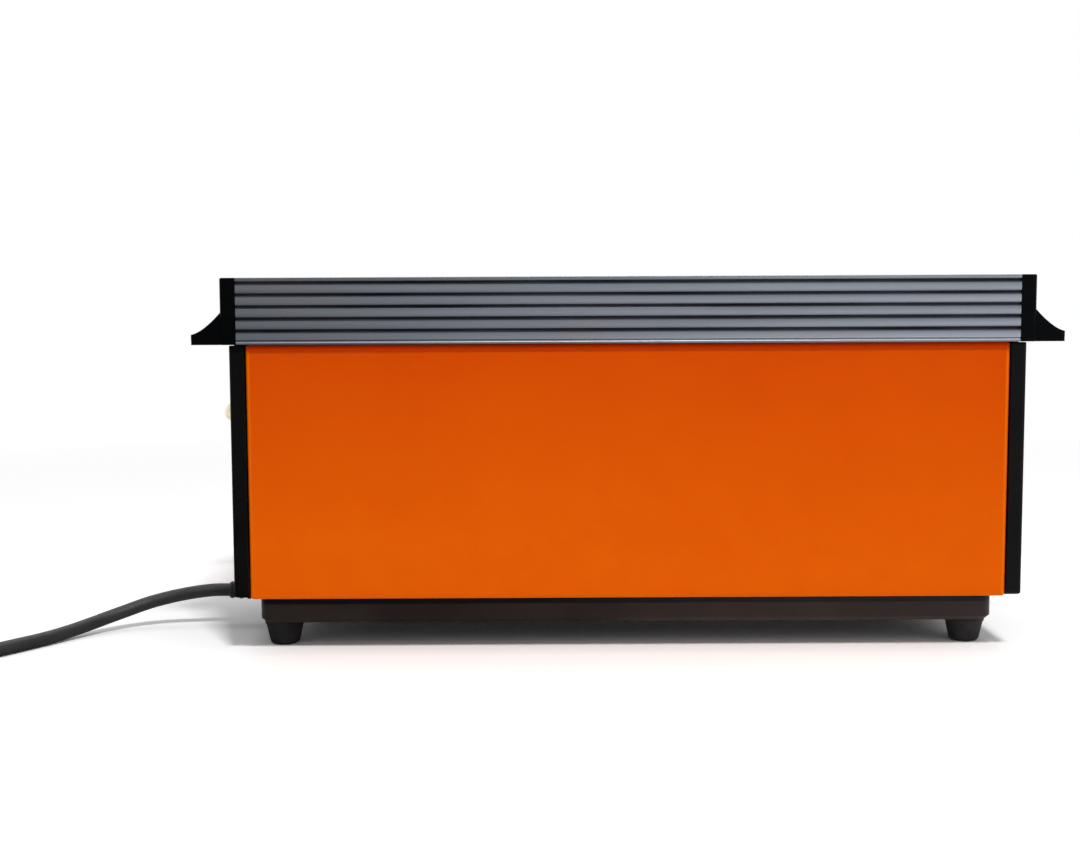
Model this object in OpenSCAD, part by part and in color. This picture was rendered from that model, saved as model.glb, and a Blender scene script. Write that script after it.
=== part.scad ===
// Drop side toaster: two sprung doors that swing down, one on each side of a
// central heater. X runs along the length, Y from front to back and Z up. The
// origin is on the table, under the middle of the toaster.

/* [Body] */
// Length over the two moulded end panels
body_len = 366; // [340:2:400]
// Depth over the two coloured door skins
body_dep = 130; // [126:1:150]
// Height of the end panels' top edge above the table
panel_top = 174; // [166:1:186]
// Width of an end panel's rim, seen from the front
panel_w = 7; // [6.5:0.5:9]
// Wall of the moulded end panels
panel_wall = 2.5; // [2:0.25:3]
// Radius of the end panels' outer edges
panel_edge = 2.2; // [1:0.2:3]

/* [Base and feet] */
// Gap under the base tray
foot_h = 12; // [9:0.5:18]
// Diameter of a foot at the top
foot_top_d = 19; // [17:0.5:22]
// Diameter of a foot at the bottom
foot_low_d = 13.5; // [12.5:0.5:15.5]
// Height of the base tray
tray_h = 13; // [12:0.5:18]
// How far the tray stands back from the door skins
tray_inset = 13; // [12:0.5:16]
// Sheet of the base tray
tray_t = 1; // [0.8:0.1:1.2]

/* [Doors] */
// Thickness of a door, from its skin to its inner liner
door_t = 12; // [11.5:0.5:14]
// Sheet of the door skins
skin_t = 0.9; // [0.7:0.1:1.2]
// Radius of the skins' folded edges
skin_r = 2.5; // [2:0.25:3]
// Sheet of the bright door liners
liner_t = 0.8; // [0.6:0.1:1]
// Vertical ribs pressed in each liner
rib_count = 10; // [6:1:12]
// Angle that a door swings open
door_swing = 80; // [60:1:82]
// Diameter of the hinge rods
rod_d = 4; // [3:0.25:4.25]
// Radial clearance of the doors on their rods
rod_fit = 0.08; // [0.03:0.01:0.1]
// Depth of the ledge that carries the bread
ledge_dep = 26; // [20:1:28]

/* [Rails and handles] */
// Height of the reeded rail
rail_h = 30.5; // [26:0.5:36]
// How far the rail stands proud of the skin
rail_proud = 3; // [2:0.25:4]
// Grooves along the rail
groove_count = 5; // [3:1:5]
// Width of a groove
groove_w = 1.6; // [1:0.1:2]
// Depth of a groove
groove_deep = 1.2; // [0.8:0.1:1.6]
// Width of a moulded end block
block_w = 7.25; // [6.5:0.25:9]
// Reach of a finger tab past its end block
tab_len = 14; // [10:0.5:20]
// Height of a finger tab at its tip
tab_tip_h = 4.8; // [4:0.2:6]
// Height of a finger tab at its root
tab_root_h = 14.8; // [11:0.5:18]
// Thickness of a finger tab, front to back
tab_w = 11; // [8:0.5:12]

/* [Heater] */
// Heater cards side by side
card_count = 3; // [3:1:3]
// Thickness of a mica card
card_t = 0.8; // [0.5:0.1:1]
// Turns of ribbon on a card
turn_count = 11; // [6:1:13]
// Width of the heating ribbon
ribbon_w = 2; // [1.4:0.2:2.4]
// Distance from the cards to each guard grid
guard_y = 17; // [14:0.5:20]
// Wire of the guard grids
guard_d = 2; // [1.6:0.2:2.4]
// Spacing of the upright guard wires
guard_pitch = 20; // [14:1:28]

/* [Pilot lamp] */
// Height of the lamp above the table
lamp_z = 112; // [80:1:140]
// Distance of the lamp in front of the middle
lamp_y = 45; // [30:1:47]
// Diameter of the lens
lens_d = 9; // [7:0.5:10]

/* [Cord] */
// Diameter of the cord
cord_d = 6.5; // [5.5:0.25:6.75]
// Length of the strain relief outside the tray
relief_len = 24.3; // [20:0.1:25]
// Height of the cord where it leaves the tray
cord_exit_z = 18; // [17.5:0.25:20]

/* [Hidden] */

$fn = 48;
eps = 0.01;
// Smooth corners of hulled shapes
hull_fn = 32;
// Air between parts that pass each other
gap = 0.5;
// Air round a part that sits in a hole or channel
fit = 0.1;

// Screws
screw_d = 2.8;
screw_hole = screw_d + 0.3;
head_d = 5.2;
head_h = 1.7;

// Levels, from the table up
tray_top = foot_h + tray_h;
floor_t = 1.2;
floor_top = tray_top + floor_t;
door_low = tray_top + 1;
panel_low = tray_top + 1.5;
hinge_z = door_low + 5;
rail_top = panel_top + 1;
skin_top = rail_top - rail_h;
panel_ledge = skin_top - gap;
plate_t = 1;
plate_top = panel_top - 5;
cover_top = plate_top + plate_t;

// Depths, from the middle out
skin_y = body_dep / 2;
liner_y = skin_y - door_t;
liner_out = liner_y + liner_t;
hinge_y = skin_y - 7;
rail_y = skin_y + rail_proud;
rail_in = liner_out;
tray_y = skin_y - tray_inset;
panel_neck_y = liner_y + gap;
plate_y = liner_y - head_h - gap;

// Lengths, from the middle out
panel_out = body_len / 2;
panel_in = panel_out - panel_w;
skin_x = panel_in - gap;
liner_x = skin_x - 0.2;
plate_x = panel_in - 4;
tray_x = plate_x + 1.7;
block_in = panel_in + 2.75;
block_out = block_in + block_w;
bread_x = plate_x - plate_t;

// The floor plate's edge stops an open door: its bottom fold comes up against it
fold_drop = hinge_z - door_low;
stop_gap = 0.4;
floor_rise = floor_top - hinge_z;
stop_reach = (fold_drop + stop_gap + floor_rise * cos(door_swing)) / sin(door_swing);
floor_y = hinge_y - stop_reach;

// Hinge hardware
rod_bore = rod_d + 2 * rod_fit;
boss_d = rod_d + 4.4;
socket_deep = 4.4;
ear_x = bread_x - 2.5;
ear_t = 1;
spring_wire = 1.1;
spring_turns = 5;
spring_pitch = 1.6;
spring_r = rod_d / 2 + 0.75 + spring_wire / 2;
spring_x = ear_x - 2;
spring_notch = spring_turns * spring_pitch + 6;

// Feet stand near the corners of the tray
foot_x = tray_x - foot_top_d / 2 - 0.2;
foot_y = tray_y - foot_top_d / 2 - 4.5;

// Rows of vents under and over each bread space
slot_y = liner_y * 0.63;
vent_y = tray_y * 0.46;

// Heater
card_low = floor_top + 3;
card_high = plate_top - 6;
card_gap = 5;
cards_x = bread_x - 4;
card_w = (2 * cards_x - (card_count - 1) * card_gap) / card_count;
channel_h = 11;
channel_w = 8;
channel_t = 0.8;
ribbon_t = 0.3;
notch_deep = 1.2;
wind_low = floor_top + channel_h + 6;
wind_high = plate_top - channel_h - 6;
wind_pitch = (wind_high - wind_low) / (turn_count - 1);

// Tray fittings
block_len = 40;
block_h = 8;
clamp_x = -tray_x + 22.7;
inner_x = clamp_x + 12;
block_x = inner_x + 1 + block_len / 2;
wire_level = 10;
wire_d = 2.2;
link_t = 0.6;
link_y = card_t / 2 + ribbon_t + 0.05;
wire_y = -link_y - link_t - 0.15 - wire_d / 2;

// The lead from the strain relief to the coil, then the tail to the plug
exit_x = -tray_x - relief_len;
coil_mid = [-354, -72];
coil_r = 42;
coil_pitch = 7.1;
coil_turns = 4.25;
tie_t = 0.8;
tie_gap = 0.35;
coil_low = cord_d / 2 + tie_t + tie_gap;
coil_step = 7.1;
coil_high = coil_low + coil_step;
coil_rings = 24;
lead_points = [
    [exit_x, 0, cord_exit_z], [-206, 0, 18], [-216, -1, 17], [-227, -1.5, 15],
    [-238, -4, 12.5], [-248, -8.5, 9.5], [-257, -15, 7], [-265, -23.5, 5], [-272, -33, 3.8],
    [-279, -44, 3.3], [-286, -54.5, 3.3], [-294, -66, 3.3], [-304, -80, 3.3],
    [-316, -95, 3.4], [-327, -104.5, 3.8], [-336, -111, 4.2],
    [coil_mid[0] + cord_d + 5, coil_mid[1] - coil_r, coil_low],
    [coil_mid[0] + cord_d, coil_mid[1] - coil_r, coil_low]];
plug_z = 13.5;
tail_points = [
    [coil_mid[0] - coil_r, coil_mid[1] + cord_d, coil_high],
    [coil_mid[0] - coil_r, coil_mid[1] + cord_d + 5, coil_high],
    [-396, -52, 10.6], [-395.4, -42, 8.6], [-394.2, -32, 7.2], [-392.2, -21, 7.2],
    [-389.4, -10, 9.2], [-385.6, 1, 12], [-382, 11, plug_z], [-378.6, 18.8, plug_z]];
plug_turn = atan2(7.8, 3.4);

// Points on the spiral: in on the lower layer, up in half a turn, out on the upper
coil_half = (coil_turns - 0.5) / 2;
function ease(u) = u * u * (3 - 2 * u);
function coil_radius(s) =
    s < coil_half ? coil_r - coil_pitch * s
    : s < coil_half + 0.5 ? coil_r - coil_pitch * (s - 2 * pow(s - coil_half, 2))
    : coil_r - coil_pitch * (coil_turns - s);
function coil_z(s) = coil_low + coil_step * ease(min(1, max(0, (s - coil_half) * 2)));
function coil_point(s) = [
    coil_mid[0] + coil_radius(s) * cos(270 - 360 * s),
    coil_mid[1] + coil_radius(s) * sin(270 - 360 * s), coil_z(s)];
coil_points = concat(
    [[coil_mid[0] + cord_d, coil_mid[1] - coil_r, coil_low]],
    [for (i = [0:coil_rings * coil_turns]) coil_point(i / coil_rings)],
    [[coil_mid[0] - coil_r, coil_mid[1] + cord_d, coil_high]]);

// Length of a path, and its least gap to itself a good way further along
function path_len(p, i = 1) = i >= len(p) ? 0 : norm(p[i] - p[i - 1]) + path_len(p, i + 1);
function least_gap(p, d, skip) = min([
    for (i = [0:len(p) - 1 - skip]) for (j = [i + skip:len(p) - 1]) norm(p[i] - p[j])]) - d;
echo(lead_length = path_len(lead_points), coil_length = path_len(coil_points),
    tail_length = path_len(tail_points));
echo(cord_length = path_len(lead_points) + path_len(coil_points) + path_len(tail_points));
echo(coil_least_gap = least_gap(coil_points, cord_d, 8));
echo(spring_least_gap = least_gap(spring_points(), spring_wire, 4));

function unit(v) = v / norm(v);
function heading(p, i) =
    i == 0 ? unit(p[1] - p[0])
    : i == len(p) - 1 ? unit(p[i] - p[i - 1])
    : unit(unit(p[i + 1] - p[i]) + unit(p[i] - p[i - 1]));

// A tube swept along a path that never runs along the up direction
module tube(path, d, sides, up) {
    n = len(path);
    rings = [for (i = [0:n - 1])
        let (t = heading(path, i), a = unit(cross(up, t)), b = cross(t, a))
        for (k = [0:sides - 1])
            path[i] + d / 2 * (cos(360 * k / sides) * a + sin(360 * k / sides) * b)];
    last = (n - 1) * sides;
    faces = concat(
        [for (k = [1:sides - 2]) [0, k, k + 1]],
        [for (k = [1:sides - 2]) [last, last + k + 1, last + k]],
        [for (i = [0:n - 2]) for (k = [0:sides - 1])
            let (m = (k + 1) % sides) [i * sides + k, (i + 1) * sides + k, (i + 1) * sides + m]],
        [for (i = [0:n - 2]) for (k = [0:sides - 1])
            let (m = (k + 1) % sides) [i * sides + k, (i + 1) * sides + m, i * sides + m]]);
    polyhedron(points = rings, faces = faces);
}

// Placing: a shape drawn for the front is mirrored to the rear, one for the right to the left
module on_side(side) {
    if (side < 0) children();
    else mirror([0, 1, 0]) children();
}
module at_end(end) {
    if (end > 0) children();
    else mirror([1, 0, 0]) children();
}
// A drawing of depth and height, pulled along X from x0 to x1
module along_x(x0, x1) {
    translate([x0, 0, 0]) rotate([90, 0, 90]) linear_extrude(x1 - x0) children();
}
// A drawing of length and height, pulled along Y from y0 to y1
module along_y(y0, y1) {
    translate([0, y1, 0]) rotate([90, 0, 0]) linear_extrude(y1 - y0) children();
}
module box(x0, x1, y0, y1, z0, z1) {
    translate([x0, y0, z0]) cube([x1 - x0, y1 - y0, z1 - z0]);
}
// A rectangle between two corners, with its corners rounded
module round_box(x0, x1, y0, y1, r) {
    translate([x0 + r, y0]) square([x1 - x0 - 2 * r, y1 - y0]);
    translate([x0, y0 + r]) square([x1 - x0, y1 - y0 - 2 * r]);
    for (x = [x0 + r, x1 - r]) for (y = [y0 + r, y1 - r]) translate([x, y]) circle(r);
}
module rod_x(x0, x1, y, z, d) {
    translate([x0, y, z]) rotate([0, 90, 0]) cylinder(h = x1 - x0, d = d);
}
module post(x, y, z0, z1, d) {
    translate([x, y, z0]) cylinder(h = z1 - z0, d = d);
}
// A pan head screw that points along +Z, with the underside of its head at the origin
module screw(len) {
    translate([0, 0, -head_h / 4]) cylinder(h = len + head_h / 4, d = screw_d);
    translate([0, 0, -head_h]) difference() {
        rotate_extrude() polygon([[0, 0], [head_d / 2 - 0.6, 0], [head_d / 2, 0.6],
            [head_d / 2, head_h], [0, head_h]]);
        for (a = [0, 90]) rotate([0, 0, a]) cube([3, 0.7, 1.6], center = true);
    }
}

// Base tray, feet and floor

module tray_shape(inset, z0, z1, bevel) {
    x = tray_x - inset;
    y = tray_y - inset;
    hull() {
        translate([0, 0, z0]) linear_extrude(eps)
            round_box(-x + bevel, x - bevel, -y + bevel, y - bevel, 5 - inset, $fn = hull_fn);
        translate([0, 0, z0 + bevel]) linear_extrude(z1 - z0 - bevel)
            round_box(-x, x, -y, y, 6 - inset, $fn = hull_fn);
    }
}

module base_tray() {
    color([0.16, 0.15, 0.15]) difference() {
        tray_shape(0, foot_h, tray_top, 2);
        tray_shape(tray_t, foot_h + tray_t, tray_top + 1, tray_cove);
        for (x = [-foot_x, foot_x]) for (y = [-foot_y, foot_y])
            post(x, y, foot_h - 1, foot_h + 3, screw_hole + 0.3);
        rod_x(-tray_x - 1, -tray_x + 2, 0, cord_exit_z, relief_neck_d + 2 * fit);
        for (i = [-7:7]) for (s = [-1, 1])
            translate([i * tray_x / 8.7, s * vent_y, foot_h + tray_t]) cube([3, 14, 6], center = true);
    }
}

module foot(end, side) {
    top = foot_top_d / 2;
    low = foot_low_d / 2;
    color([0.13, 0.13, 0.13]) translate([end * foot_x, side * foot_y, 0]) difference() {
        rotate_extrude() union() {
            polygon([[0, 1.5], [low - 1.5, 0], [low - 0.9, 0.25], [low - 0.2, 0.9], [low, 1.8],
                [top - 0.8, foot_h - 1.6], [top, foot_h - 1.4], [top, foot_h], [0, foot_h]]);
            polygon([[0, 0], [low - 1.5, 0], [low - 1.5, 1.6], [0, 1.6]]);
        }
        post(0, 0, -1, foot_h / 2, head_d + 2.4);
        post(0, 0, 0, foot_h + 1, screw_hole + 0.3);
    }
}

module foot_screws() {
    color("silver") for (x = [-foot_x, foot_x]) for (y = [-foot_y, foot_y]) {
        translate([x, y, foot_h / 2]) screw(foot_h / 2 + tray_t + 3.4);
        translate([x, y, foot_h + tray_t]) difference() {
            cylinder(h = 2.4, d = 6.2, $fn = 6);
            translate([0, 0, -1]) cylinder(h = 5, d = screw_d + 0.1);
        }
    }
}

module floor_plate() {
    color("silver") difference() {
        box(-plate_x, plate_x, -floor_y, floor_y, tray_top, floor_top);
        for (x = [-wire_x, wire_x]) post(x, wire_y, tray_top - 1, floor_top + 1, wire_d + 1.2);
        for (s = [-1, 1]) for (i = [-5:5])
            translate([i * plate_x / 6.15, s * slot_y, tray_top]) cube([16, 5, 4], center = true);
    }
}

// End plates of bright sheet, with feet and heads folded inwards

guard_low = floor_top + 13;
guard_high = plate_top - 8;
panel_boss_y = plate_y - 9;
panel_boss_low = panel_low + 14;
panel_boss_high = plate_top - 12;
fold_w = 9;
wire_x = bread_x - fold_w - 4;

module end_plate(end) {
    color("silver") at_end(end) difference() {
        union() {
            box(bread_x, plate_x, -plate_y, plate_y, floor_top, plate_top);
            box(bread_x - fold_w, plate_x, -plate_y + 2, plate_y - 2, floor_top, floor_top + plate_t);
            box(bread_x - fold_w, plate_x, -plate_y + 2, plate_y - 2, plate_top - plate_t, plate_top);
        }
        for (y = [-guard_y, guard_y]) for (z = [guard_low, guard_high])
            rod_x(bread_x - 1, plate_x + 1, y, z, guard_d + 2 * fit);
        for (y = [-panel_boss_y, panel_boss_y]) for (z = [panel_boss_low, panel_boss_high])
            rod_x(bread_x - 1, plate_x + 1, y, z, screw_hole);
        for (y = [-top_screw_y, top_screw_y])
            post(top_screw_x, y, plate_top - 3, plate_top + 1, screw_d + 0.1);
    }
}

// Moulded end panels: hollow inside, with ribs, screw bosses and hinge sockets

// One slab with rounded corners, whose outer edges are rounded as well
module eased_slab(y, z0, z1, r, edge) {
    back = panel_in - 3 * edge;
    intersection() {
        along_x(panel_in, panel_out) round_box(-y, y, z0, z1, r);
        along_y(-y - 1, y + 1) round_box(back, panel_out, z0, z1, edge);
        translate([0, 0, z0 - 1]) linear_extrude(z1 - z0 + 2)
            round_box(back, panel_out, -y, y, edge);
    }
}

module end_panel(end) {
    w = panel_wall;
    skin = panel_out - w;
    color([0.1, 0.1, 0.11]) at_end(end) difference() {
        union() {
            difference() {
                union() {
                    eased_slab(skin_y, panel_low, panel_ledge, 3.5, panel_edge);
                    eased_slab(panel_neck_y, panel_ledge - 30, panel_top, 5, panel_edge);
                }
                box(panel_in - 1, skin, -skin_y + w, skin_y - w, panel_low + w, panel_ledge - w);
                box(panel_in - 1, skin, -panel_neck_y + w, panel_neck_y - w, panel_ledge - w - 3,
                    panel_top - w);
            }
            for (s = [-1, 1]) on_side(s) {
                rod_x(panel_in, skin + eps, -hinge_y, hinge_z, boss_d);
                box(panel_in, skin + eps, -skin_y + w / 2, -hinge_y, panel_low + w / 2, hinge_z);
            }
            for (y = [-panel_boss_y, panel_boss_y]) for (z = [panel_boss_low, panel_boss_high])
                rod_x(plate_x, skin + eps, y, z, 7.5);
            for (y = [-22, 0, 22])
                box(skin - 3, skin + eps, y - 0.8, y + 0.8, panel_low + w - eps, panel_top - w + eps);
            for (z = [for (k = [1:3]) panel_low + k * (panel_ledge - panel_low) / 4])
                box(skin - 3, skin + eps, -skin_y + w - eps, skin_y - w + eps, z - 0.8, z + 0.8);
            if (end < 0) rod_x(skin - 3, skin + eps, -lamp_y, lamp_z, lens_d + 8);
        }
        for (y = [-hinge_y, hinge_y])
            rod_x(panel_in - 1, panel_in + socket_deep, y, hinge_z, rod_d + 2 * fit);
        for (y = [-panel_boss_y, panel_boss_y]) for (z = [panel_boss_low, panel_boss_high])
            rod_x(plate_x - 1, skin, y, z, screw_d + 0.1);
        if (end < 0) rod_x(skin - 4, panel_out + 1, -lamp_y, lamp_z, lens_d + 2 + 2 * fit);
    }
}

module panel_screws() {
    color("silver") for (e = [-1, 1]) at_end(e)
        for (y = [-panel_boss_y, panel_boss_y]) for (z = [panel_boss_low, panel_boss_high])
            translate([bread_x, y, z]) rotate([0, 90, 0]) screw(8);
}

// Slotted cover over the heater, between the two rails

top_screw_x = bread_x - fold_w / 2;
top_screw_y = plate_y - 12;

module top_plate() {
    lip_in = plate_y - 0.6;
    color([0.12, 0.12, 0.12]) difference() {
        union() {
            box(-panel_in + 0.2, panel_in - 0.2, -plate_y, plate_y, plate_top, cover_top);
            for (s = [-1, 1]) on_side(s)
                box(-bread_x + 0.4, bread_x - 0.4, -plate_y, -lip_in, plate_top - 1.8, plate_top + eps);
        }
        for (y = [-slot_y, 0, slot_y]) for (i = [-3:3])
            translate([i * bread_x / 3.9, y, plate_top - 2]) linear_extrude(5) round_box(-16, 16, -2.5, 2.5, 2.49);
        for (x = [-top_screw_x, top_screw_x]) for (y = [-top_screw_y, top_screw_y])
            post(x, y, plate_top - 2, cover_top + 1, screw_hole);
    }
}

module top_screws() {
    color("silver") for (x = [-top_screw_x, top_screw_x]) for (y = [-top_screw_y, top_screw_y])
        translate([x, y, cover_top]) mirror([0, 0, 1]) screw(6);
}

// Heater: mica cards held in two channels, with flat ribbon wound round each

module heater_channel(z0, up) {
    z1 = z0 + up * channel_h;
    low = min(z0, z1);
    reach = bread_x - fold_w - fit;
    web = up > 0 ? low : low + channel_h - channel_t;
    color("silver") difference() {
        union() {
            box(-reach, reach, -channel_w / 2, channel_w / 2, web, web + channel_t);
            for (s = [-1, 1]) on_side(s) {
                box(-reach, reach, -channel_w / 2, -channel_w / 2 + channel_t, low, low + channel_h);
                box(-reach, reach, -channel_w / 2, -card_t / 2 - fit,
                    up > 0 ? low + channel_h - channel_t : low,
                    up > 0 ? low + channel_h : low + channel_t);
            }
        }
        if (up > 0) for (x = [-wire_x, wire_x])
            post(x, wire_y, z0 - 1, z1 + 1, wire_d + 1.2);
    }
}

function card_x(i) = -cards_x + card_w / 2 + i * (card_w + card_gap);

module heater_card(i) {
    color([0.72, 0.68, 0.58]) translate([card_x(i), 0, 0]) difference() {
        box(-card_w / 2, card_w / 2, -card_t / 2, card_t / 2, card_low, card_high);
        for (s = [-1, 1]) for (k = [0:turn_count - 1])
            translate([s * card_w / 2, 0, wind_low + k * wind_pitch])
                cube([2 * notch_deep, 2, ribbon_w + 0.8], center = true);
    }
}

// One unbroken ribbon: level in front, sloping down a step behind, round both edges
module heater_winding(i) {
    half = card_w / 2 - notch_deep + fit;
    face = card_t / 2 + 0.05;
    slope = atan2(wind_pitch, 2 * half);
    color([0.55, 0.5, 0.45]) translate([card_x(i), 0, 0]) {
        for (k = [0:turn_count - 1]) translate([0, 0, wind_low + k * wind_pitch]) {
            box(-half - ribbon_t, half + ribbon_t, -face - ribbon_t, -face,
                -ribbon_w / 2, ribbon_w / 2);
            for (s = [-1, 1]) if (!(s > 0 && k == 0) && !(s < 0 && k == turn_count - 1))
                translate([s * (half + ribbon_t / 2), 0, 0])
                    cube([ribbon_t, 2 * (face + ribbon_t), ribbon_w], center = true);
        }
        for (k = [0:turn_count - 2])
            translate([0, face + ribbon_t / 2, wind_low + (k + 0.5) * wind_pitch])
                rotate([0, -slope, 0])
                    cube([2 * half / cos(slope) + 0.2, ribbon_t, ribbon_w * 0.9], center = true);
    }
}

// Straps that join one winding to the next, and one for each supply wire
module heater_links() {
    half = card_w / 2 - notch_deep + fit + ribbon_t;
    color([0.8, 0.65, 0.3]) {
        for (i = [0:card_count - 2])
            box(card_x(i) + half - 3, card_x(i + 1) - half + 3, -link_y - link_t, -link_y,
                wind_low - 1, wind_low + 1);
        for (s = [-1, 1]) at_end(s)
            box(wire_x - 3, cards_x - 1, -link_y - link_t, -link_y, wind_low - 1, wind_low + 1);
    }
}

// Guard grids of round wire, held in holes in the end plates
module guard(side) {
    color("silver") on_side(side) {
        for (z = [guard_low, guard_high])
            rod_x(-plate_x + 0.1, plate_x - 0.1, -guard_y, z, guard_d);
        n = floor((bread_x - 6) / guard_pitch);
        for (i = [-n:n])
            post(i * guard_pitch, -guard_y, guard_low - 2, guard_high + 2, guard_d * 0.8);
    }
}

// Hinges and springs

module hinge_rod(side) {
    reach = panel_in + socket_deep - 0.2;
    color("silver") rod_x(-reach, reach, side * hinge_y, hinge_z, rod_d);
}

// Torsion spring on the rod: one leg up against the liner, one on the floor plate
function spring_points() =
    let (y = -hinge_y, z = hinge_z, x = spring_x, r = spring_r, rest = floor_top + spring_wire / 2)
    concat(
        [[x, -liner_out - spring_wire / 2 - 0.05, z + 13], [x, y + r, z + 6]],
        [for (i = [0:8 * spring_turns - 2])
            [x - spring_pitch * i / 8, y + r * cos(45 * i), z + r * sin(45 * i)]],
        [[x - spring_pitch * spring_turns, y + r + 1, rest + 0.5],
         [x - spring_pitch * spring_turns, -floor_y + 3.5, rest + 0.05]]);

module door_spring(end, side) {
    color([0.6, 0.6, 0.62]) at_end(end) on_side(side)
        tube(spring_points(), spring_wire, 6, [1, 0, 0]);
}

// Doors: skin, liner, ledge, rail, handles and screws

// A block with rounded long edges, corners and front edges, for a pressed pan
module pan_shape(x, y0, y1, z0, z1, r) {
    intersection() {
        along_x(-x - 1, x + 1) round_box(y0, y1 + 2 * r, z0, z1, r);
        along_y(y0 - 1, y1) round_box(-x, x, z0, z1, r);
        translate([0, 0, z0 - 1]) linear_extrude(z1 - z0 + 2) round_box(-x, x, y0, y1 + 2 * r, r);
    }
}

module door_skin(side) {
    t = skin_t;
    color([0.87, 0.36, 0.02]) on_side(side) difference() {
        pan_shape(skin_x, -skin_y, -liner_out, door_low, skin_top, skin_r);
        pan_shape(skin_x - t, -skin_y + t, -liner_out + 1, door_low + t, skin_top - t, skin_r - t);
        box(-skin_x + t, skin_x - t, -liner_out - 2.2, -liner_out + 1, door_low - 1, door_low + t + eps);
        for (e = [-1, 1]) at_end(e)
            box(spring_x + 3 - spring_notch, skin_x - t, -skin_y + skin_r, -liner_out + 1,
                door_low - 1, door_low + t + eps);
        rod_x(-skin_x - 1, skin_x + 1, -hinge_y, hinge_z, rod_bore);
    }
}

module liner_rib(x, z0, z1) {
    intersection() {
        translate([x, -liner_y - 1.8, 0]) union() {
            post(0, 0, z0, z1, 6);
            for (z = [z0, z1]) translate([0, 0, z]) sphere(d = 6);
        }
        box(x - 4, x + 4, -liner_y - 0.4, -liner_y + 3, z0 - 4, z1 + 4);
    }
}

liner_low = hinge_z + 2;
liner_high = rail_top - 2.2;
ledge_z = hinge_z + 4;

module door_liner(side) {
    span = 2 * (ear_x - 14);
    color([0.75, 0.75, 0.76]) on_side(side) difference() {
        union() {
            box(-liner_x, liner_x, -liner_out, -liner_y, liner_low, liner_high);
            for (i = [0:rib_count - 1])
                liner_rib(-span / 2 + i * span / (rib_count - 1), ledge_z + 16, plate_top - 14);
            for (e = [-1, 1]) at_end(e) difference() {
                along_x(ear_x, ear_x + ear_t) union() {
                    translate([-hinge_y, hinge_z]) circle(d = rod_d + 3.6);
                    translate([-hinge_y, hinge_z - 1.5])
                        square([hinge_y - liner_out + eps, 10]);
                }
            }
        }
        rod_x(-ear_x - 2, ear_x + 2, -hinge_y, hinge_z, rod_bore);
        for (e = [-1, 1]) at_end(e) for (z = handle_screw_z)
            translate([handle_screw_x, -liner_out - 1, z]) rotate([-90, 0, 0])
                cylinder(h = 4, d = screw_hole);
    }
}

module bread_ledge(side) {
    t = 0.8;
    x = bread_x - 3;
    y0 = -liner_y;
    y1 = -liner_y + ledge_dep;
    color("silver") on_side(side) difference() {
        union() {
            box(-x, x, y0, y1, ledge_z, ledge_z + t);
            box(-x, x, y0, y0 + t, ledge_z, ledge_z + 9);
            box(-x, x, y1 - t, y1, ledge_z, ledge_z + 3);
        }
        n = floor(x / 26);
        for (i = [-n:n]) translate([i * 24, (y0 + y1) / 2, ledge_z - 1])
            linear_extrude(3) round_box(-8, 8, -ledge_dep / 2 + 6, ledge_dep / 2 - 6, 3);
    }
}

// Section of the rail from front to back: reeded web, top and bottom flanges
rail_web = 3;
rail_flange = 1.8;
reed_pitch = 5.57;
first_groove = 3.5;
reed_dome = 0.35;
lip_groove = 1.2;
function groove_mid(i) = rail_top - first_groove - i * reed_pitch;
function groove_outline(i) =
    let (z = groove_mid(i), w = groove_w / 2, y = -rail_y)
    [[y + reed_dome, z + w], [y + groove_deep, z + w * 0.4], [y + groove_deep, z - w * 0.4],
     [y + reed_dome, z - w], [y + reed_dome * 0.35, z - w - 0.45],
     [y, (i < groove_count - 1 ? (z + groove_mid(i + 1)) / 2 : z - w - 1.2)]];

module door_rail(side) {
    y = -rail_y;
    low = skin_top;
    front = concat(
        [[-rail_in, rail_top], [y + 0.8, rail_top], [y + 0.2, rail_top - 0.3], [y, rail_top - 0.9]],
        [for (i = [0:groove_count - 1]) for (p = groove_outline(i)) p],
        [[y, low + lip_groove + 0.3], [y + 0.9, low + lip_groove + 0.1],
         [y + 0.9, low + lip_groove - 0.3], [y, low + lip_groove - 0.5], [y, low]]);
    back = [[-rail_in - 1.5, low], [-rail_in - 1.5, low + rail_flange],
        [y + rail_web, low + rail_flange], [y + rail_web, rail_top - rail_flange],
        [-rail_in, rail_top - rail_flange]];
    color([0.62, 0.63, 0.66]) on_side(side)
        along_x(-block_in, block_in) polygon(concat(front, back));
}

// End block with its finger tab, and a tongue that sits in the rail
handle_screw_x = block_in - 6;
handle_screw_z = [skin_top + 8, rail_top - 8];

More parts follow.
